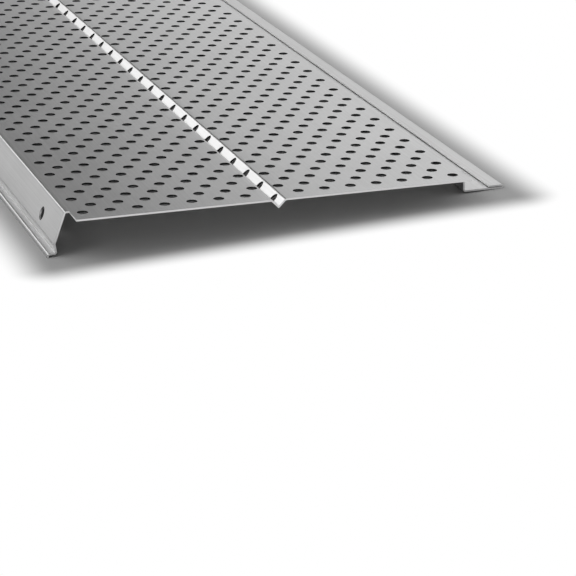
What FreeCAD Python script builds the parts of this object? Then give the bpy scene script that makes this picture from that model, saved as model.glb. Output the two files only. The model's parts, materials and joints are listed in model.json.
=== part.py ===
import FreeCAD, Part
import math
import os
import Sketcher

# Perforated gutter guard, punched and folded from one piece of aluminium sheet.
# X runs across the guard, Y along it and Z up. While the section is drawn, the panel's
# upper face is at Z = 0 and the middle of its V groove at X = 0.

SIZES = {
    "thickness": 0.5,
    "bend_radius": 0.3,
    "panel_left": 59.7,
    "panel_right": 60.0,
    "groove_width": 3.9,
    "groove_slope": 45,
    "wing_width": 9.7,
    "wing_slope": 70,
    "riser_width": 2.7,
    "riser_slope": 81,
    "ledge_width": 2.4,
    "lip_width": 1.2,
    "drop_height": 5.8,
    "shelf_width": 12.2,
    "hem_width": 4.5,
    "hem_gap": 0.2,
    "hole_diameter": 3.2,
    "column_pitch": 7.874,
    "column_count": 15,
    "row_pitch": 12.7,
    "rows_per_strip": 6,
    "strip_count": 16,
    "front_plain": 2.9,
    "rear_plain": 5.4,
    "tongue_length": 8.3,
    "tongue_inset": 1.3,
    "screw_hole_diameter": 4.0,
    "screw_hole_down_wing": 6.2,
    "screw_hole_from_end": 18.5,
    "screw_hole_count": 4,
}

START = 1
END = 2
CENTRE = 3
X_AXIS = -1
Z_AXIS = -2
ORIGIN = (-1, 1)
ALONG = FreeCAD.Vector(0, 1, 0)

doc = FreeCAD.newDocument("gutter_guard")

sheet = doc.addObject("Spreadsheet::Sheet", "Sizes")
for row, (name, value) in enumerate(SIZES.items(), start=1):
    sheet.set("A%d" % row, name)
    sheet.set("B%d" % row, str(value))
    sheet.setAlias("B%d" % row, name)
doc.recompute()


def size(name):
    return float(sheet.get(name))


def flat(x, z):
    return FreeCAD.Vector(x, z, 0)


def heading(degrees):
    return flat(math.cos(math.radians(degrees)), math.sin(math.radians(degrees)))


# Section line, along the sheet's upper face from the lip's foot to the hem's free edge
section = doc.addObject("Sketcher::SketchObject", "section_line")
section.Placement.Rotation = FreeCAD.Rotation(FreeCAD.Vector(1, 0, 0), 90)

fold = flat(-size("panel_left"), 0)
kink = fold - heading(size("wing_slope")) * size("wing_width")
ledge_inner = kink - heading(180 - size("riser_slope")) * size("riser_width")
ledge_outer = ledge_inner - flat(size("ledge_width"), 0)
half_groove = size("groove_width") / 2
groove_depth = half_groove * math.tan(math.radians(size("groove_slope")))
shelf_corner = flat(size("panel_right"), -size("drop_height"))
hem_radius = size("hem_gap") / 2
hem_outer_radius = size("thickness") + hem_radius
hem_entry = shelf_corner + flat(size("shelf_width") - hem_outer_radius, 0)

corners = {
    "lip_foot": ledge_outer - flat(0, size("lip_width")),
    "ledge_outer": ledge_outer,
    "ledge_inner": ledge_inner,
    "kink": kink,
    "fold": fold,
    "groove_left": flat(-half_groove, 0),
    "groove_foot": flat(0, -groove_depth),
    "groove_right": flat(half_groove, 0),
    "panel_edge": flat(size("panel_right"), 0),
    "shelf_corner": shelf_corner,
    "hem_entry": hem_entry,
}
face_names = [
    "lip",
    "ledge",
    "riser",
    "wing",
    "left_panel",
    "groove_fall",
    "groove_rise",
    "right_panel",
    "drop",
    "shelf",
]


def constrain(*terms):
    return section.addConstraint(Sketcher.Constraint(*terms))


def dimension(name, expression, kind, *geometry):
    """A named dimension of the section, bound to the sheet's cells."""
    value = float(section.evalExpression(expression))
    if kind == "Angle":
        value = math.radians(value)
    section.renameConstraint(constrain(kind, *geometry, value), name)
    section.setExpression("Constraints." + name, expression)


def add_face(start, end):
    return section.addGeometry(Part.LineSegment(start, end), False)


def add_arc(centre, radius, entry, leaving, turns_left):
    """Adds an arc and gives its own entry and exit ends; sketch arcs run anticlockwise."""
    limits = (entry, leaving) if turns_left else (leaving, entry)
    angles = [math.atan2((limit - centre).y, (limit - centre).x) for limit in limits]
    circle = Part.Circle(centre, FreeCAD.Vector(0, 0, 1), radius)
    arc = section.addGeometry(Part.ArcOfCircle(circle, *angles), False)
    return (arc, START, END) if turns_left else (arc, END, START)


def add_bend(name, before, corner, after):
    """Rounds one corner, on the sheet's inner or outer radius by the way that it turns."""
    back = (before - corner).normalize()
    ahead = (after - corner).normalize()
    half_angle = back.getAngle(ahead) / 2
    turns_left = back.cross(ahead).z < 0
    expression = "Sizes.bend_radius" if turns_left else "Sizes.bend_radius + Sizes.thickness"
    radius = float(section.evalExpression(expression))
    entry = corner + back * (radius / math.tan(half_angle))
    leaving = corner + ahead * (radius / math.tan(half_angle))
    centre = corner + (back + ahead).normalize() * (radius / math.sin(half_angle))
    arc = add_arc(centre, radius, entry, leaving, turns_left)
    dimension(name + "_radius", expression, "Radius", arc[0])
    return entry, leaving, arc


names = list(corners)
bends = {}
for before, name, after in zip(names, names[1:], names[2:]):
    bends[name] = add_bend(name, corners[before], corners[name], corners[after])

faces = {}
for face_name, before, after in zip(face_names, names, names[1:]):
    start = bends[before][1] if before in bends else corners[before]
    end = bends[after][0] if after in bends else corners[after]
    faces[face_name] = add_face(start, end)
    if before in bends:
        arc, _, arc_exit = bends[before][2]
        constrain("Tangent", arc, arc_exit, faces[face_name], START)
    if after in bends:
        arc, arc_entry, _ = bends[after][2]
        constrain("Tangent", faces[face_name], END, arc, arc_entry)

hem_centre = hem_entry + flat(0, hem_radius)
hem_exit = hem_centre + flat(0, hem_radius)
hem_arc, arc_entry, arc_exit = add_arc(hem_centre, hem_radius, hem_entry, hem_exit, True)
faces["hem"] = add_face(hem_exit, hem_exit - flat(size("hem_width") - hem_outer_radius, 0))
constrain("Tangent", faces["shelf"], END, hem_arc, arc_entry)
constrain("Tangent", hem_arc, arc_exit, faces["hem"], START)
dimension("hem_radius", "Sizes.hem_gap / 2", "Radius", hem_arc)

# Each corner is kept as a point on both of its faces, and the dimensions run between them
marks = {}
for name, before, after in zip(names[1:], face_names, face_names[1:]):
    marks[name] = (section.addGeometry(Part.Point(corners[name]), True), START)
    constrain("PointOnObject", *marks[name], faces[before])
    constrain("PointOnObject", *marks[name], faces[after])

for name in ("ledge", "shelf", "hem"):
    constrain("Horizontal", faces[name])
for name in ("lip", "drop"):
    constrain("Vertical", faces[name])
for name in ("left_panel", "right_panel"):
    constrain("PointOnObject", faces[name], START, X_AXIS)
    constrain("PointOnObject", faces[name], END, X_AXIS)
constrain("PointOnObject", *marks["groove_foot"], Z_AXIS)

dimension("panel_left", "Sizes.panel_left", "DistanceX", *marks["fold"], *ORIGIN)
dimension("panel_right", "Sizes.panel_right", "DistanceX", *ORIGIN, *marks["panel_edge"])
dimension("groove_left", "Sizes.groove_width / 2", "DistanceX", *marks["groove_left"], *ORIGIN)
dimension("groove_right", "Sizes.groove_width / 2", "DistanceX", *ORIGIN, *marks["groove_right"])
dimension("groove_slope", "-Sizes.groove_slope", "Angle", faces["groove_fall"])
dimension("wing_slope", "Sizes.wing_slope", "Angle", faces["wing"])
dimension("wing_width", "Sizes.wing_width", "Distance", *marks["kink"], *marks["fold"])
dimension("riser_slope", "180 - Sizes.riser_slope", "Angle", faces["riser"])
dimension("riser_width", "Sizes.riser_width", "Distance", *marks["ledge_inner"], *marks["kink"])
dimension("ledge_width", "Sizes.ledge_width", "DistanceX", *marks["ledge_outer"], *marks["ledge_inner"])
dimension("lip_width", "Sizes.lip_width", "DistanceY", faces["lip"], START, *marks["ledge_outer"])
dimension("drop_height", "Sizes.drop_height", "DistanceY", *marks["shelf_corner"], *marks["panel_edge"])
to_hem_centre = "Sizes.%s - Sizes.thickness - Sizes.hem_gap / 2"
hem_middle = (hem_arc, CENTRE)
dimension("shelf_width", to_hem_centre % "shelf_width", "DistanceX", *marks["shelf_corner"], *hem_middle)
dimension("hem_width", to_hem_centre % "hem_width", "DistanceX", faces["hem"], END, *hem_middle)

# Sheet section, with the metal below the section line
wall = doc.addObject("Part::Offset2D", "sheet_section")
wall.Source = section
wall.Mode = "Skin"
wall.Fill = True
wall.setExpression("Value", "Sizes.thickness")


def extrude(name, length):
    """A length of the folded sheet, with no holes."""
    blank = doc.addObject("Part::Extrusion", name)
    blank.Base = wall
    blank.DirMode = "Custom"
    blank.Dir = ALONG
    blank.Solid = True
    blank.setExpression("LengthFwd", length)
    return blank


# One strip of the sheet with its drain holes: full rows and the staggered rows between them
STRIP_LENGTH = "Sizes.rows_per_strip * Sizes.row_pitch"
strip_blank = extrude("strip_blank", STRIP_LENGTH)
strip = doc.addObject("PartDesign::Body", "perforated_strip")
strip.BaseFeature = strip_blank
doc.recompute()
plan = [plane for plane in strip.Origin.OriginFeatures if plane.Role == "XY_Plane"][0]


def punch(name, columns, first_row):
    """A grid of round drain holes, punched down through the panel and its groove."""
    before = strip.Shape.Volume
    mark = strip.newObject("Sketcher::SketchObject", name + "_mark")
    mark.AttachmentSupport = (plan, [""])
    mark.MapMode = "FlatFace"
    circle = Part.Circle(flat(-1, 1), FreeCAD.Vector(0, 0, 1), size("hole_diameter") / 2)
    mark.addGeometry(circle, False)
    for kind, ends, label, expression in (
        ("DistanceX", (0, CENTRE, *ORIGIN), "to_middle", "(%s - 1) / 2 * Sizes.column_pitch" % columns),
        ("DistanceY", (*ORIGIN, 0, CENTRE), "first_row", first_row),
        ("Radius", (0,), "radius", "Sizes.hole_diameter / 2"),
    ):
        value = float(mark.evalExpression(expression))
        mark.renameConstraint(mark.addConstraint(Sketcher.Constraint(kind, *ends, value)), label)
        mark.setExpression("Constraints." + label, expression)
    hole = strip.newObject("PartDesign::Pocket", name)
    hole.Profile = mark
    hole.Type = "ThroughAll"
    hole.SideType = "Symmetric"
    hole.Refine = False
    grid = strip.newObject("PartDesign::LinearPattern", name + "_grid")
    grid.Originals = [hole]
    grid.Direction = (mark, ["H_Axis"])
    grid.Mode = "Extent"
    grid.setExpression("Length", "(%s - 1) * Sizes.column_pitch" % columns)
    grid.setExpression("Occurrences", columns)
    grid.Direction2 = (mark, ["V_Axis"])
    grid.Mode2 = "Extent"
    grid.setExpression("Length2", "(Sizes.rows_per_strip - 1) * Sizes.row_pitch")
    grid.setExpression("Occurrences2", "Sizes.rows_per_strip")
    grid.Refine = False
    strip.Tip = grid
    doc.recompute()
    if strip.Shape.Volume >= before:
        raise RuntimeError(name + " cut nothing")


punch("full_rows", "Sizes.column_count", "Sizes.row_pitch / 4")
punch("staggered_rows", "(Sizes.column_count - 1)", "Sizes.row_pitch * 3 / 4")

# Whole length: a plain margin, the perforated strips in a row, and a plain margin
lengths = [extrude("front_margin", "Sizes.front_plain")]
for index in range(int(size("strip_count"))):
    link = doc.addObject("App::Link", "strip_%02d" % (index + 1))
    link.LinkedObject = strip
    link.setExpression("Placement.Base.y", "Sizes.front_plain + %d * %s" % (index, STRIP_LENGTH))
    lengths.append(link)
rear_blank = extrude("rear_blank", "Sizes.rear_plain")
rear = doc.addObject("App::Link", "rear_margin")
rear.LinkedObject = rear_blank
rear_start = "Sizes.front_plain + Sizes.strip_count * " + STRIP_LENGTH
rear.setExpression("Placement.Base.y", rear_start)
lengths.append(rear)

# Front notches, which leave the panel standing out as a tongue past the wing and the shelf
SECTION_HEIGHT = "(Sizes.wing_width + Sizes.riser_width + Sizes.lip_width)"
LEFT_REACH = "(Sizes.wing_width + Sizes.ledge_width + Sizes.tongue_inset)"
RIGHT_REACH = "(Sizes.shelf_width + Sizes.tongue_inset)"


def notch(name, reach, left_edge):
    box = doc.addObject("Part::Box", name)
    box.setExpression("Length", reach)
    box.setExpression("Width", "Sizes.tongue_length")
    box.setExpression("Height", "2 * " + SECTION_HEIGHT)
    box.setExpression("Placement.Base.x", left_edge)
    box.setExpression("Placement.Base.z", "-" + SECTION_HEIGHT)
    return box


cutters = [
    notch("left_notch", LEFT_REACH, "Sizes.tongue_inset - Sizes.panel_left - " + LEFT_REACH),
    notch("right_notch", RIGHT_REACH, "Sizes.panel_right - Sizes.tongue_inset"),
]

# Screw holes, square to the wing and evenly spaced along it
WING_LENGTH = "(%s + Sizes.rear_plain - Sizes.tongue_length)" % rear_start
SCREW_SPAN = "(%s - 2 * Sizes.screw_hole_from_end)" % WING_LENGTH
for index in range(int(size("screw_hole_count"))):
    drill = doc.addObject("Part::Cylinder", "screw_hole_%d" % (index + 1))
    drill.Placement.Rotation = FreeCAD.Rotation(FreeCAD.Vector(0, -1, 0), 1)
    drill.setExpression("Placement.Rotation.Angle", "Sizes.wing_slope")
    drill.setExpression("Radius", "Sizes.screw_hole_diameter / 2")
    drill.setExpression("Height", "4 * Sizes.thickness")
    down = "(Sizes.screw_hole_down_wing * %s(Sizes.wing_slope * 1deg))"
    out = "(Sizes.thickness * 2 * %s(Sizes.wing_slope * 1deg))"
    x_place = "-Sizes.panel_left - " + down % "cos" + " + " + out % "sin"
    z_place = "-" + down % "sin" + " - " + out % "cos"
    y_place = "Sizes.tongue_length + Sizes.screw_hole_from_end + %d * %s / (Sizes.screw_hole_count - 1)"
    drill.setExpression("Placement.Base.x", x_place)
    drill.setExpression("Placement.Base.y", y_place % (index, SCREW_SPAN))
    drill.setExpression("Placement.Base.z", z_place)
    cutters.append(drill)


def trim(piece):
    """Cuts the notches and screw holes that reach this piece of the length."""
    hits = [cutter for cutter in cutters if cutter.Shape.BoundBox.intersect(piece.Shape.BoundBox)]
    if not hits:
        return piece
    tool = doc.addObject("Part::Compound", piece.Name + "_cuts")
    tool.Links = hits
    trimmed = doc.addObject("Part::Cut", piece.Name + "_trimmed")
    trimmed.Base = piece
    trimmed.Tool = tool
    trimmed.Refine = False
    return trimmed


doc.recompute()
guard = doc.addObject("Part::MultiFuse", "gutter_guard")
guard.Label = "gutter_guard"
guard.Shapes = [trim(piece) for piece in lengths]
guard.Refine = False
doc.recompute()

# Resting place: the guard lies on its lip and on the hem's bend, with its middle at the origin
lip_contact = corners["lip_foot"] + flat(size("thickness"), 0)
to_hem = hem_centre - lip_contact
contact_angle = math.asin(hem_outer_radius / to_hem.Length)
lie = math.atan2(to_hem.y, to_hem.x) - contact_angle
guard.Placement.Rotation = FreeCAD.Rotation(FreeCAD.Vector(0, 1, 0), math.degrees(lie))
box = guard.Shape.BoundBox
guard.Placement.Base = FreeCAD.Vector(-box.Center.x, -box.Center.y, -box.ZMin)

for item in doc.Objects:
    if {"Invalid", "Error"} & set(item.State):
        raise RuntimeError(item.Label + " failed: " + str(item.State))
if guard.Shape.isNull() or not guard.Shape.isValid():
    raise RuntimeError("gutter_guard is not a valid shape")
if len(guard.Shape.Solids) != 1:
    raise RuntimeError("gutter_guard is not one solid")

os.makedirs("parts", exist_ok=True)
guard.Shape.exportStep("parts/" + guard.Label + ".step")
box = guard.Shape.BoundBox
print("gutter_guard", [round(v, 2) for v in (box.XLength, box.YLength, box.ZLength)])
print("volume mm3", round(guard.Shape.Volume, 1), "faces", len(guard.Shape.Faces))
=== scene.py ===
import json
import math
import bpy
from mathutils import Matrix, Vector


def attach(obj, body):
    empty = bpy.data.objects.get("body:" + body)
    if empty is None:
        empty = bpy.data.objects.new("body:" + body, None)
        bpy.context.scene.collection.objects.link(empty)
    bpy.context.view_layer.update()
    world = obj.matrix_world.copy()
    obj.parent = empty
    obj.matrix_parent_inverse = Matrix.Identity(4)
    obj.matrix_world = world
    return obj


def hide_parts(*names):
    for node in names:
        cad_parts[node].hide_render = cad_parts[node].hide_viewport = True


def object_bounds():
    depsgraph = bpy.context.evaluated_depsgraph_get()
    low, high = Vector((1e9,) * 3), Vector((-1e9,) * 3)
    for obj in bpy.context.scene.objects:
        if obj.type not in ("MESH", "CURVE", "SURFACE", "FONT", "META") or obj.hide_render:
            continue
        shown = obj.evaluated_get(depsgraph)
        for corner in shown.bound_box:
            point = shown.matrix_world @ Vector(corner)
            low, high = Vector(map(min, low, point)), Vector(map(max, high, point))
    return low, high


bl_info = {
    "name": "Perforated Gutter Guard",
    "version": (1, 0, 0),
    "blender": (4, 5, 0),
    "location": "3D View > Sidebar > Gutter Guard",
    "description": "Folds a perforated aluminium gutter guard and sets it on a pale studio floor",
    "category": "Add Mesh",
}

import bpy
from bpy.props import FloatProperty, IntProperty, PointerProperty, StringProperty
from bpy.types import Operator, Panel, PropertyGroup
from mathutils import Matrix, Vector

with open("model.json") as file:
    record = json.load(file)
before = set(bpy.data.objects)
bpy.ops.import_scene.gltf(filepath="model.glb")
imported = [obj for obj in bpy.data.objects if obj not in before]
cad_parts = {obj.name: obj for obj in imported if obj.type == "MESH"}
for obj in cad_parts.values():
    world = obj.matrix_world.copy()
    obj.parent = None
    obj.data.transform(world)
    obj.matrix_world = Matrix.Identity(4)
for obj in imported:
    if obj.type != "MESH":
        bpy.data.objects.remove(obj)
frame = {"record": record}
cad_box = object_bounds()
mounts = {mount["name"]: mount for mount in frame["record"]["mounts"]}
drain_pair = mounts["drain_holes_1"]
outer_screws = mounts["wing_screws_outer"]
inner_screws = mounts["wing_screws_inner"]
guard_length = cad_box[1][1] - cad_box[0][1]

# The sheet is modelled in millimetres, lying flat, and set in its place at the end
MM = 0.001
DRAIN_HOLE = 2 * drain_pair["dims"]["hole_r_mm"] * MM
SCREW_HOLE = 2 * outer_screws["dims"]["hole_r_mm"] * MM
MERGE = 0.01
DRAIN_HOLE_SIDES = 12
SCREW_HOLE_SIDES = 24
GROOVE_BEND_SIDES = 2
BEND_STEP = math.radians(23)
SMOOTH_ANGLE = math.radians(35)

# Places of the cut metal's two materials in the sheet's list: the sheared ends, and the drain holes' walls,
# whose dark colour is painted shade
SHEARED = 1
PAINTED_SHADE_WALLS = 2

# The camera's place is from the tongue's middle, in metres
CAMERA_PLACE = (-0.21386, -0.63369, 0.209)
CAMERA_HEADING = math.radians(18.87)
CAMERA_DIP = math.radians(19.39)
CAMERA_LENS = 156.06

# The soft cards stand beside the guard, from in front of it to far behind
CARD_FRONT = cad_box[0][1] - 0.2
CARD_BACK = cad_box[0][1] + 2.6

# The room's soft light is strongest from this side, and the floor is this wide
BRIGHT_SIDE = (0, -0.6, 0.8)
FLOOR_SIZE = 12

# The floor's white glow fades in over this distance out from the guard, which paints shade round it on top
# of its real shadow, and beyond it the metal mirrors this share of white
SHADOW_AND_PAINTED_SHADE_REACH = 0.014
FLOOR_IN_METAL = 0.65

# Sizes and colours that a user would change


def length(name, description, default):
    return FloatProperty(name=name, description=description, default=default, unit="LENGTH", precision=5)


def angle(name, description, default):
    return FloatProperty(name=name, description=description, default=math.radians(default), unit="ROTATION")


def colour(name, description, default):
    return StringProperty(name=name, description=description + ", as an sRGB hex value", default=default)


class GuardSizes(PropertyGroup):
    guard_length: length("Length", "From the tongue's front edge to the far end", guard_length)
    thickness: length("Thickness", "Gauge of the sheet", 0.0005)
    bend_radius: length("Bend radius", "Inner radius of the bends", 0.0003)
    panel_left: length("Panel left", "From the groove to the wing's fold", 0.0597)
    panel_right: length("Panel right", "From the groove to the shelf's wall", 0.060)
    groove_width: length("Groove width", "Width of the V groove's mouth", 0.0039)
    groove_slope: angle("Groove slope", "Slope of the groove's sides", 45)
    wing_width: length("Wing width", "From the fold down to the kink", 0.0097)
    wing_slope: angle("Wing slope", "How far the wing is folded down", 70)
    riser_width: length("Riser width", "From the kink down to the ledge", 0.0027)
    riser_slope: angle("Riser slope", "How steeply the riser goes back inwards", 81)
    ledge_width: length("Ledge width", "Step outwards below the riser", 0.0024)
    lip_width: length("Lip width", "Depth of the last fold", 0.0012)
    drop_height: length("Drop height", "From the panel down to the shelf", 0.0058)
    shelf_width: length("Shelf width", "From the wall to the outside of the hem", 0.0122)
    hem_width: length("Hem width", "Width of the edge that is folded back", 0.0045)
    hem_gap: length("Hem gap", "Gap inside the hem", 0.0002)
    tongue_length: length("Tongue length", "How far the panel stands out past its folds", 0.0083)
    tongue_inset: length("Tongue inset", "How far the tongue's sides are set in", 0.0013)
    first_row: length("First row", "From the tongue's front edge to the first holes", 0.006075)
    row_pitch: length("Row pitch", "Spacing of the full rows", 0.0127)
    column_pitch: length("Column pitch", "Spacing of the holes in a row", 0.007874)
    hole_diameter: length("Drain hole", "Diameter of the drain holes", DRAIN_HOLE)
    screw_diameter: length("Screw hole", "Diameter of the screw holes", SCREW_HOLE)
    screw_depth: length("Screw hole depth", "From the fold down the wing to the screw holes", 0.0062)
    screw_from_end: length("Screw hole end", "From the wing's front end to the first screw hole", 0.0185)
    rows: IntProperty(name="Rows", description="Full rows of holes", default=96)
    columns: IntProperty(name="Columns", description="Holes in a full row", default=15)


class GuardFinish(PropertyGroup):
    metal: colour("Metal", "Mill-finish aluminium", "D7D7D7")
    streak: colour("Streak", "Darker rolling streaks", "C9C9C9")
    sheared: colour("Sheared edge", "Freshly cut metal", "F2F2F2")
    # Painted shade: the drain holes' walls are coloured near-black to stand in for the shade inside the
    # holes
    painted_hole_shade: colour("Punched wall", "Dull metal in the shade of the drain holes", "3C3C3C")
    # The paper's own grey shows only under and round the guard, where the white glow fades: painted shade
    # on top of the real shadow
    floor: colour("Floor", "Studio floor", "AEAEAE")


def sizes_in_mm():
    """The sizes as plain numbers, with lengths in millimetres and angles in radians."""
    group = bpy.context.scene.guard_sizes
    values = {}
    for name in GuardSizes.__annotations__:
        value = getattr(group, name)
        if group.bl_rna.properties[name].unit == "LENGTH":
            value = value / MM
        values[name] = value
    return values


# Small tools for work on one mesh


def select_only(*pieces):
    bpy.ops.object.select_all(action="DESELECT")
    for piece in pieces:
        piece.select_set(True)
    bpy.context.view_layer.objects.active = pieces[0]


def open_piece(name):
    """A new piece at the origin, open in edit mode, to which primitives are added."""
    piece = bpy.data.objects.new(name, bpy.data.meshes.new(name))
    bpy.context.scene.collection.objects.link(piece)
    select_only(piece)
    bpy.ops.object.mode_set(mode="EDIT")
    return piece


def pick(piece, kind, test):
    """Selects just those vertices, edges or faces whose every corner passes the test."""
    bpy.ops.mesh.select_mode(type=kind)
    bpy.ops.mesh.select_all(action="DESELECT")
    bpy.ops.object.mode_set(mode="OBJECT")
    points = piece.data.vertices
    passed = [test(point.co) for point in points]
    if kind == "VERT":
        chosen = [point for point, good in zip(points, passed) if good]
    else:
        items = piece.data.edges if kind == "EDGE" else piece.data.polygons
        chosen = [item for item in items if all(passed[corner] for corner in item.vertices)]
    if not chosen:
        raise RuntimeError(piece.name + " has nothing to select here")
    for item in chosen:
        item.select = True
    bpy.ops.object.mode_set(mode="EDIT")


def near(value, target):
    return abs(value - target) < MERGE


def shift(x=0, y=0, z=0):
    bpy.ops.transform.translate(value=(x, y, z))


def extrude(x=0, y=0, z=0):
    bpy.ops.mesh.extrude_region_move(TRANSFORM_OT_translate={"value": (x, y, z)})


def merge_doubles():
    bpy.ops.mesh.select_all(action="SELECT")
    bpy.ops.mesh.remove_doubles(threshold=MERGE)


def modify(piece, kind, **settings):
    """Adds a modifier with these settings and applies it."""
    select_only(piece)
    modifier = piece.modifiers.new(kind.title(), kind)
    for name, value in settings.items():
        setattr(modifier, name, value)
    bpy.ops.object.modifier_apply(modifier=modifier.name)


def repeat(piece, count, x=0, y=0):
    modify(
        piece,
        "ARRAY",
        count=count,
        use_relative_offset=False,
        use_constant_offset=True,
        constant_offset_displace=(x, y, 0),
    )


def plate(x_low, x_high, y_low, y_high):
    """A flat rectangle, added to the piece that is open."""
    middle = ((x_low + x_high) / 2, (y_low + y_high) / 2, 0)
    bpy.ops.mesh.select_all(action="DESELECT")
    bpy.ops.mesh.primitive_plane_add(size=1, location=middle)
    bpy.ops.transform.resize(value=(x_high - x_low, y_high - y_low, 1), center_override=middle)


# Perforated panel


def hole_tile(name, size, x, y, inner, outer):
    """The metal round one drain hole, between two sides whose middles meet the next column's corners."""
    half_length = size["row_pitch"] / 2
    radius = size["hole_diameter"] / 2
    tile = open_piece(name)
    plate(inner, outer, y - half_length, y + half_length)
    bpy.ops.mesh.delete(type="ONLY_FACE")
    for side in (inner, outer):
        pick(tile, "EDGE", lambda co: near(co.x, side))
        bpy.ops.mesh.subdivide(number_cuts=1)
    bpy.ops.mesh.primitive_circle_add(vertices=DRAIN_HOLE_SIDES, radius=radius, location=(x, y, 0))
    bpy.ops.mesh.select_all(action="SELECT")
    bpy.ops.mesh.fill(use_beauty=True)
    return tile


def fold_steps(radius, slope):
    """The steps, across and down, of a groove's bend that starts level and ends at this slope."""
    turns = [slope * part / GROOVE_BEND_SIDES for part in range(GROOVE_BEND_SIDES + 1)]
    points = [(radius * math.sin(turn), radius * (1 - math.cos(turn))) for turn in turns]
    return [(after[0] - before[0], after[1] - before[1]) for before, after in zip(points, points[1:])]


def groove_edge(size):
    """How far the groove's bends reach out from its middle."""
    radius = size["bend_radius"] + size["thickness"]
    return size["groove_width"] / 2 + radius * math.tan(size["groove_slope"] / 2)


def groove_strip(size, first_y):
    """The bottom of the V groove with its row of holes. It slopes one way and is mirrored later."""
    slope = size["groove_slope"]
    steps = fold_steps(size["bend_radius"] + size["thickness"], slope)
    flat_end = groove_edge(size) - sum(across for across, down in steps)
    strip = hole_tile("groove_strip", size, 0, first_y, -flat_end, flat_end)
    bpy.ops.mesh.select_all(action="SELECT")
    bpy.ops.transform.resize(value=(1 / math.cos(slope), 1, 1), center_override=(0, 0, 0))
    bpy.ops.transform.rotate(value=slope, orient_axis="Y", center_override=(0, 0, 0))
    shift(z=-size["groove_width"] / 2 * math.tan(slope))
    pick(strip, "EDGE", lambda co: near(co.x, flat_end))
    for across, down in reversed(steps):
        extrude(x=across, z=down)
    bpy.ops.object.mode_set(mode="OBJECT")
    repeat(strip, size["rows"], y=size["row_pitch"])
    return strip


def hole_grid(name, size, x, y, inner, columns):
    """Columns of holes right of the groove, from this first hole outwards and back."""
    tile = hole_tile(name, size, x, y, inner, x + size["column_pitch"] / 4)
    bpy.ops.object.mode_set(mode="OBJECT")
    repeat(tile, columns, x=size["column_pitch"])
    repeat(tile, size["rows"], y=size["row_pitch"])
    return tile


def square_ends(piece, size, front, rear):
    """Carries a strip's front back to the tongue's edge, and its rear on to the far end."""
    half_row = size["row_pitch"] / 2
    last_corner = size["first_row"] + size["rows"] * size["row_pitch"]
    select_only(piece)
    bpy.ops.object.mode_set(mode="EDIT")
    merge_doubles()
    pick(piece, "EDGE", lambda co: near(co.y, front))
    if front > half_row / 2:
        extrude(y=-front)
    else:
        shift(y=-front)
    pick(piece, "EDGE", lambda co: near(co.y, rear))
    if rear < last_corner - MERGE:
        extrude(y=last_corner - rear)
    extrude(y=size["guard_length"] - last_corner)
    bpy.ops.object.mode_set(mode="OBJECT")


def panel(size):
    """The whole flat panel with its staggered holes and the groove down its middle."""
    pitch = size["column_pitch"] / 2
    half_row = size["row_pitch"] / 2
    first = size["first_row"]
    columns = size["columns"] // 2
    full = hole_grid("full_rows", size, 2 * pitch, first, 1.5 * pitch, columns)
    beside = hole_grid("beside_groove", size, pitch, first + half_row, groove_edge(size), 1)
    staggered = hole_grid("staggered_rows", size, 3 * pitch, first + half_row, 2.5 * pitch, columns - 1)
    groove = groove_strip(size, first)
    front_full = first - half_row
    rear_full = front_full + size["rows"] * size["row_pitch"]
    for piece in (full, groove):
        square_ends(piece, size, front_full, rear_full)
    for piece in (beside, staggered):
        square_ends(piece, size, first, rear_full + half_row)
    select_only(full, beside, staggered, groove)
    bpy.ops.object.join()
    modify(
        full,
        "MIRROR",
        use_axis=(True, False, False),
        use_bisect_axis=(True, False, False),
        use_mirror_merge=True,
        merge_threshold=MERGE,
    )
    return full


# Folded edges


def rounded(corners):
    """Points along a line through these corners (x, z, radius), with each corner rounded."""
    points = [Vector(corners[0][:2])]
    for before, corner, after in zip(corners, corners[1:], corners[2:]):
        at = Vector(corner[:2])
        inward = (at - Vector(before[:2])).normalized()
        onward = (Vector(after[:2]) - at).normalized()
        turn = inward.angle(onward)
        side = 1 if inward.cross(onward) > 0 else -1
        radius = corner[2]
        start = at - inward * radius * math.tan(turn / 2)
        centre = start + Vector((-inward.y, inward.x)) * side * radius
        sides = math.ceil(turn / BEND_STEP)
        for step in range(sides + 1):
            swing = Matrix.Rotation(side * turn * step / sides, 2)
            points.append(centre + swing @ (start - centre))
    points.append(Vector(corners[-1][:2]))
    return points


def shelf_profile(size):
    """The sheet's upper face from the tongue's side down the wall, along the shelf and round the hem."""
    outer = size["bend_radius"] + size["thickness"]
    wall = size["panel_right"]
    floor = -size["drop_height"]
    hem = wall + size["shelf_width"] - size["thickness"]
    hem_end = hem + size["thickness"] - size["hem_width"]
    fold = size["hem_gap"] / 2
    return [
        (wall - size["tongue_inset"], 0, 0),
        (wall, 0, outer),
        (wall, floor, size["bend_radius"]),
        (hem, floor, fold),
        (hem, floor + size["hem_gap"], fold),
        (hem_end, floor + size["hem_gap"], 0),
    ]


def wing_profile(size):
    """The sheet's outer face from the tongue's side down the wing to the lip."""
    outer = size["bend_radius"] + size["thickness"]
    fold = Vector((-size["panel_left"], 0))
    down_wing = Vector((-math.cos(size["wing_slope"]), -math.sin(size["wing_slope"])))
    down_riser = Vector((math.cos(size["riser_slope"]), -math.sin(size["riser_slope"])))
    kink = fold + down_wing * size["wing_width"]
    step = kink + down_riser * size["riser_width"]
    edge = step - Vector((size["ledge_width"], 0))
    foot = edge - Vector((0, size["lip_width"]))
    return [
        (fold.x + size["tongue_inset"], 0, 0),
        (*fold, outer),
        (*kink, outer),
        (*step, size["bend_radius"]),
        (*edge, outer),
        (*foot, 0),
    ]


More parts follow.
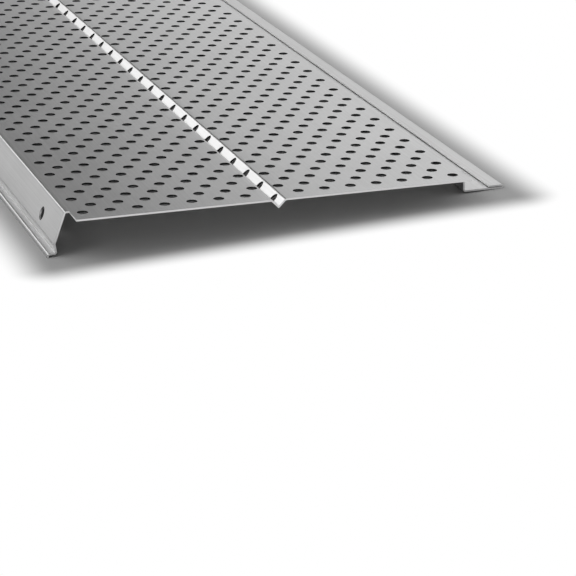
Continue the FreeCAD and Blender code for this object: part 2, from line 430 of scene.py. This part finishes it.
def fold_side(piece, size, corners, last_column):
    """Closes the margin beside the last holes, and folds the edge beyond it along the profile."""
    edge = corners[0][0]
    back = size["guard_length"]
    side = math.copysign(1, edge)
    pick(piece, "VERT", lambda co: near(co.x, side * last_column) and near(co.y, 0))
    extrude(x=edge - side * last_column)
    extrude(y=size["tongue_length"])
    extrude(y=back - size["tongue_length"])
    extrude(x=side * last_column - edge)
    merge_doubles()
    pick(piece, "EDGE", lambda co: side * co.x > last_column - MERGE)
    bpy.ops.mesh.edge_face_add()
    tongue_end = size["tongue_length"] - MERGE
    pick(piece, "EDGE", lambda co: near(co.x, edge) and co.y > tongue_end)
    points = rounded(corners)
    for before, after in zip(points, points[1:]):
        extrude(x=after.x - before.x, z=after.y - before.y)


def punch_wing(piece, size):
    """Opens the screw holes in the wing's flat face."""
    slope = size["wing_slope"]
    fold = Vector((-size["panel_left"], 0, 0))
    outward = Vector((-math.sin(slope), 0, math.cos(slope)))
    down = Vector((-math.cos(slope), 0, -math.sin(slope)))
    tangent = (size["bend_radius"] + size["thickness"]) * math.tan(slope / 2)

    def on_wing(co):
        along = (co - fold).dot(down)
        return near((co - fold).dot(outward), 0) and tangent - MERGE < along < size["wing_width"]

    pick(piece, "FACE", on_wing)
    bpy.ops.mesh.delete(type="ONLY_FACE")
    first = size["tongue_length"] + size["screw_from_end"]
    middle = first + outer_screws["dims"]["pcd_mm"] / 2
    for pair in (outer_screws, inner_screws):
        reach = pair["dims"]["pcd_mm"] / 2
        for y in (middle - reach, middle + reach):
            bpy.ops.mesh.select_all(action="DESELECT")
            bpy.ops.mesh.primitive_circle_add(
                vertices=SCREW_HOLE_SIDES,
                radius=size["screw_diameter"] / 2,
                location=fold + down * size["screw_depth"] + Vector((0, y, 0)),
                rotation=(0, -slope, 0),
            )
    pick(piece, "EDGE", on_wing)
    bpy.ops.mesh.fill(use_beauty=True)


def paint_shade_on_hole_walls(piece, size, last_column):
    """Gives the walls of the drain holes their own material, whose near-black colour is painted shade."""
    front = size["first_row"] - size["row_pitch"] / 4
    back = size["guard_length"] - MERGE
    for face in piece.data.polygons:
        among_holes = abs(face.center.x) < last_column and front < face.center.y < back
        if face.material_index == SHEARED and among_holes:
            face.material_index = PAINTED_SHADE_WALLS


def face_up(piece):
    """Turns the sheet's faces over if its broadest level face looks down."""
    broadest = max(piece.data.polygons, key=lambda face: face.area * abs(face.normal.z))
    if broadest.normal.z < 0:
        bpy.ops.object.mode_set(mode="EDIT")
        bpy.ops.mesh.select_all(action="SELECT")
        bpy.ops.mesh.flip_normals()
        bpy.ops.object.mode_set(mode="OBJECT")


def placement(size):
    """Where the flat sheet's frame stands in the object's frame, resting on its lip and shelf."""
    normal = drain_pair["axis"]
    turn = Matrix.Rotation(math.atan2(normal[0], normal[2]), 4, "Y")
    hole = Vector((0, size["first_row"], -size["thickness"] / 2)) * MM
    return Matrix.Translation(Vector(drain_pair["pos_m"]) - turn.to_3x3() @ hole) @ turn


# Finishes


def linear(hex_value):
    """An sRGB hex colour as linear red, green, blue and alpha."""
    shades = [int(hex_value[place : place + 2], 16) / 255 for place in (0, 2, 4)]
    low = [shade / 12.92 for shade in shades]
    high = [((shade + 0.055) / 1.055) ** 2.4 for shade in shades]
    return [dark if shade <= 0.04045 else light for shade, dark, light in zip(shades, low, high)] + [1.0]


def add_node(tree, kind, settings=None, values=None, links=None):
    """Adds a node with its settings, its inputs' values, and its inputs' links."""
    node = tree.nodes.new(kind)
    for name, value in (settings or {}).items():
        setattr(node, name, value)
    for name, value in (values or {}).items():
        node.inputs[name].default_value = value
    for name, source in (links or {}).items():
        tree.links.new(source, node.inputs[name])
    return node


def new_material(name):
    material = bpy.data.materials.new(name)
    material.use_nodes = True
    material.node_tree.nodes.clear()
    return material, material.node_tree


def surface(tree, shader):
    add_node(tree, "ShaderNodeOutputMaterial", links={"Surface": shader.outputs[0]})


def aluminium_sheet(finish):
    """Mill-finish aluminium sheet, cold rolled and left bare: silky, with fine streaks along its length."""
    material, tree = new_material("mill_finish_aluminium")
    place = add_node(tree, "ShaderNodeTexCoord").outputs["Object"]
    # Rolling lines about 0.5 mm apart and some 60 mm long
    stretched = add_node(
        tree,
        "ShaderNodeMapping",
        values={"Scale": (2000.0, 16.0, 2000.0)},
        links={"Vector": place},
    )
    lines = add_node(
        tree,
        "ShaderNodeTexNoise",
        values={"Scale": 1.0, "Detail": 3.0, "Roughness": 0.6},
        links={"Vector": stretched.outputs["Vector"]},
    )
    # Slight clouding, about 25 mm across, where the oxide skin is thicker
    clouds = add_node(
        tree,
        "ShaderNodeTexNoise",
        values={"Scale": 40.0, "Detail": 2.0},
        links={"Vector": place},
    )
    both = add_node(
        tree,
        "ShaderNodeMix",
        settings={"data_type": "FLOAT"},
        values={"Factor": 0.45},
        links={"A": lines.outputs["Fac"], "B": clouds.outputs["Fac"]},
    )
    # From the darker streaks to the plain metal
    shade = add_node(tree, "ShaderNodeValToRGB", links={"Fac": both.outputs["Result"]})
    shade.color_ramp.elements[0].position = 0.35
    shade.color_ramp.elements[0].color = linear(finish.streak)
    shade.color_ramp.elements[1].position = 0.6
    shade.color_ramp.elements[1].color = linear(finish.metal)
    rough = add_node(
        tree,
        "ShaderNodeMapRange",
        values={"To Min": 0.27, "To Max": 0.37},
        links={"Value": both.outputs["Result"]},
    )
    grain = add_node(
        tree,
        "ShaderNodeBump",
        values={"Strength": 0.25, "Distance": 0.00004},
        links={"Height": lines.outputs["Fac"]},
    )
    shader = add_node(
        tree,
        "ShaderNodeBsdfPrincipled",
        values={"Metallic": 1.0},
        links={
            "Base Color": shade.outputs["Color"],
            "Roughness": rough.outputs["Result"],
            "Normal": grain.outputs["Normal"],
        },
    )
    surface(tree, shader)
    return material


def cut_aluminium(name, shade, smoothest, roughest):
    """Aluminium that was cut through: a frosted break, bright at the sheared ends; in the drain holes its
    dark colour is painted shade.
    """
    material, tree = new_material(name)
    place = add_node(tree, "ShaderNodeTexCoord").outputs["Object"]
    # Fracture grain about 0.2 mm across
    grain = add_node(
        tree,
        "ShaderNodeTexNoise",
        values={"Scale": 5000.0, "Detail": 2.0},
        links={"Vector": place},
    )
    rough = add_node(
        tree,
        "ShaderNodeMapRange",
        values={"To Min": smoothest, "To Max": roughest},
        links={"Value": grain.outputs["Fac"]},
    )
    shader = add_node(
        tree,
        "ShaderNodeBsdfPrincipled",
        values={"Metallic": 1.0, "Base Color": linear(shade)},
        links={"Roughness": rough.outputs["Result"]},
    )
    surface(tree, shader)
    return material


class GUARD_OT_sheet(Operator):
    """Punches and folds the gutter guard from one sheet"""

    bl_idname = "guard.sheet"
    bl_label = "Gutter guard"

    def execute(self, context):
        size = sizes_in_mm()
        finish = context.scene.guard_finish
        guard = panel(size)
        guard.name = "folded_sheet"
        guard.data.name = "folded_sheet"
        last_column = (size["columns"] - 0.5) * size["column_pitch"] / 2
        select_only(guard)
        bpy.ops.object.mode_set(mode="EDIT")
        merge_doubles()
        fold_side(guard, size, shelf_profile(size), last_column)
        fold_side(guard, size, wing_profile(size), last_column)
        punch_wing(guard, size)
        merge_doubles()
        bpy.ops.mesh.normals_make_consistent(inside=False)
        bpy.ops.object.mode_set(mode="OBJECT")
        face_up(guard)
        guard.data.materials.append(aluminium_sheet(finish))
        sheared = cut_aluminium("sheared_aluminium", finish.sheared, smoothest=0.3, roughest=0.6)
        guard.data.materials.append(sheared)
        # The drain holes' walls get a near-black colour: painted shade
        painted_hole_shade = cut_aluminium("punched_aluminium", finish.painted_hole_shade, smoothest=0.6, roughest=0.9)
        guard.data.materials.append(painted_hole_shade)
        modify(
            guard,
            "SOLIDIFY",
            thickness=size["thickness"],
            offset=-1,
            use_even_offset=True,
            material_offset_rim=SHEARED,
        )
        paint_shade_on_hole_walls(guard, size, last_column)
        guard.matrix_world = placement(size) @ Matrix.Scale(MM, 4)
        bpy.ops.object.transform_apply(location=True, rotation=True, scale=True)
        bpy.ops.object.shade_smooth_by_angle(angle=SMOOTH_ANGLE)
        modify(guard, "WEIGHTED_NORMAL", keep_sharp=True)
        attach(guard, "root")
        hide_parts("gutter_guard")
        return {"FINISHED"}


# Studio


def white_beyond_painted_shade(tree, place):
    """Grows from 0 under the guard to 1 on the open floor, by the distance out from the guard. Where it is
    low, the grey paper shows: painted shade round the guard as well as its real shadow.
    """
    outside = place
    for operation, value in (("ABSOLUTE", None), ("SUBTRACT", cad_box[1]), ("MAXIMUM", (0, 0, 0))):
        step = add_node(
            tree,
            "ShaderNodeVectorMath",
            settings={"operation": operation},
            links={"Vector": outside},
        )
        if value:
            step.inputs[1].default_value = value
        outside = step.outputs["Vector"]
    distance = add_node(
        tree,
        "ShaderNodeVectorMath",
        settings={"operation": "LENGTH"},
        links={"Vector": outside},
    )
    ramp = add_node(
        tree,
        "ShaderNodeMapRange",
        settings={"interpolation_type": "SMOOTHSTEP"},
        values={"From Min": 0.0, "From Max": SHADOW_AND_PAINTED_SHADE_REACH},
        links={"Value": distance.outputs["Value"]},
    )
    return ramp.outputs["Result"]


def paper(finish):
    """Matt paper: the open floor glows white to the eye and light grey in the metal; under and round the
    guard the glow fades to grey paper, a painted shade on top of the real shadow, which it keeps.
    """
    material, tree = new_material("matt_paper")
    place = add_node(tree, "ShaderNodeTexCoord").outputs["Object"]
    # Paper tooth about 2 mm across
    tooth = add_node(tree, "ShaderNodeTexNoise", values={"Scale": 500.0}, links={"Vector": place})
    bump = add_node(
        tree,
        "ShaderNodeBump",
        values={"Strength": 0.05, "Distance": 0.0001},
        links={"Height": tooth.outputs["Fac"]},
    )
    ray = add_node(tree, "ShaderNodeLightPath")
    seen = add_node(tree, "ShaderNodeMath", settings={"operation": "MULTIPLY_ADD"})
    tree.links.new(ray.outputs["Is Glossy Ray"], seen.inputs[0])
    seen.inputs[1].default_value = FLOOR_IN_METAL
    tree.links.new(ray.outputs["Is Camera Ray"], seen.inputs[2])
    glow = add_node(tree, "ShaderNodeMath", settings={"operation": "MULTIPLY"})
    tree.links.new(seen.outputs["Value"], glow.inputs[0])
    tree.links.new(white_beyond_painted_shade(tree, place), glow.inputs[1])
    diffuse = add_node(
        tree,
        "ShaderNodeBsdfDiffuse",
        values={"Color": linear(finish.floor)},
        links={"Normal": bump.outputs["Normal"]},
    )
    white = add_node(tree, "ShaderNodeEmission", values={"Color": (1, 1, 1, 1), "Strength": 1.0})
    blend = add_node(tree, "ShaderNodeMixShader", links={"Fac": glow.outputs["Value"]})
    tree.links.new(diffuse.outputs["BSDF"], blend.inputs[1])
    tree.links.new(white.outputs["Emission"], blend.inputs[2])
    surface(tree, blend)
    return material


def soft_lamp(name, width, length, level, stand):
    """A broad even lamp that the camera doesn't see. At a level of 1, its face is as bright as white."""
    light = bpy.data.lights.new(name, "AREA")
    light.shape = "RECTANGLE"
    light.size = width
    light.size_y = length
    light.energy = math.pi * width * length * level
    lamp = bpy.data.objects.new(name, light)
    lamp.matrix_world = stand
    lamp.visible_camera = False
    bpy.context.scene.collection.objects.link(lamp)


def soft_card(name, side, distance, low, high, level):
    """A tall white card beside the guard, lit evenly, that faces it along its whole length."""
    centre = (side * distance, (CARD_FRONT + CARD_BACK) / 2, (low + high) / 2)
    turn = Matrix.Rotation(side * math.pi / 2, 4, "Y")
    soft_lamp(name, high - low, CARD_BACK - CARD_FRONT, level, Matrix.Translation(centre) @ turn)


def room(dim, bright):
    """A plain room of soft light, bright overhead and in front, dim behind, and white to the eye."""
    world = bpy.data.worlds.new("studio")
    bpy.context.scene.world = world
    world.use_nodes = True
    tree = world.node_tree
    tree.nodes.clear()
    ray = add_node(tree, "ShaderNodeLightPath")
    heading = add_node(tree, "ShaderNodeTexCoord").outputs["Generated"]
    facing = add_node(tree, "ShaderNodeVectorMath", settings={"operation": "DOT_PRODUCT"})
    facing.inputs[1].default_value = BRIGHT_SIDE
    tree.links.new(heading, facing.inputs[0])
    # How squarely a direction faces the bright side, spread from dim to bright
    level = add_node(
        tree,
        "ShaderNodeMapRange",
        values={"From Min": -0.35, "From Max": 0.65, "To Min": dim, "To Max": bright},
        links={"Value": facing.outputs["Value"]},
    )
    soft = add_node(
        tree,
        "ShaderNodeBackground",
        values={"Color": (1, 1, 1, 1)},
        links={"Strength": level.outputs["Result"]},
    )
    white = add_node(tree, "ShaderNodeBackground", values={"Color": (1, 1, 1, 1), "Strength": 1.0})
    blend = add_node(tree, "ShaderNodeMixShader", links={"Fac": ray.outputs["Is Camera Ray"]})
    tree.links.new(soft.outputs["Background"], blend.inputs[1])
    tree.links.new(white.outputs["Background"], blend.inputs[2])
    add_node(tree, "ShaderNodeOutputWorld", links={"Surface": blend.outputs["Shader"]})


def look_along_guard(view):
    """The camera low to the left of the tongue, looking along the guard."""
    data = bpy.data.cameras.new("camera")
    data.sensor_width = 36
    data.lens = CAMERA_LENS
    data.clip_end = 50
    camera = bpy.data.objects.new("camera", data)
    bpy.context.scene.collection.objects.link(camera)
    place = Matrix.Translation(Vector(CAMERA_PLACE))
    aim = Matrix.Rotation(-CAMERA_HEADING, 4, "Z") @ Matrix.Rotation(math.pi / 2 - CAMERA_DIP, 4, "X")
    camera.matrix_world = view @ place @ aim
    bpy.context.scene.camera = camera


class GUARD_OT_stage(Operator):
    """Sets the floor, the soft light and the camera"""

    bl_idname = "guard.stage"
    bl_label = "Studio"

    def execute(self, context):
        finish = context.scene.guard_finish
        bpy.ops.object.select_all(action="DESELECT")
        bpy.ops.mesh.primitive_plane_add(size=FLOOR_SIZE, location=(0, 0, 0))
        floor = context.object
        floor.name = "floor"
        floor.data.materials.append(paper(finish))
        room(dim=0.05, bright=0.35)
        soft_card("right_card", side=1, distance=0.3, low=0.07, high=0.34, level=0.93)
        soft_card("left_card_low", side=-1, distance=0.35, low=0.015, high=0.3, level=0.5)
        soft_card("left_card_high", side=-1, distance=0.35, low=0.3, high=0.95, level=1.7)
        overhead = Matrix.Translation((0, 0, 2.2))
        soft_lamp("top_light", width=1.5, length=2.0, level=0.35, stand=overhead)
        look_along_guard(placement(sizes_in_mm()))
        context.scene.view_settings.view_transform = "Standard"
        return {"FINISHED"}


class GUARD_PT_panel(Panel):
    bl_idname = "GUARD_PT_panel"
    bl_label = "Gutter Guard"
    bl_space_type = "VIEW_3D"
    bl_region_type = "UI"
    bl_category = "Gutter Guard"

    def draw(self, context):
        for operator in (GUARD_OT_sheet, GUARD_OT_stage):
            self.layout.operator(operator.bl_idname)
        for group in (context.scene.guard_sizes, context.scene.guard_finish):
            for name in group.__annotations__:
                self.layout.prop(group, name)


classes = (GuardSizes, GuardFinish, GUARD_OT_sheet, GUARD_OT_stage, GUARD_PT_panel)


def register():
    for cls in classes:
        bpy.utils.register_class(cls)
    bpy.types.Scene.guard_sizes = PointerProperty(type=GuardSizes)
    bpy.types.Scene.guard_finish = PointerProperty(type=GuardFinish)


def unregister():
    del bpy.types.Scene.guard_finish
    del bpy.types.Scene.guard_sizes
    for cls in reversed(classes):
        bpy.utils.unregister_class(cls)


def main():
    register()
    bpy.ops.guard.sheet()
    bpy.ops.guard.stage()


if __name__ == "__main__":
    main()
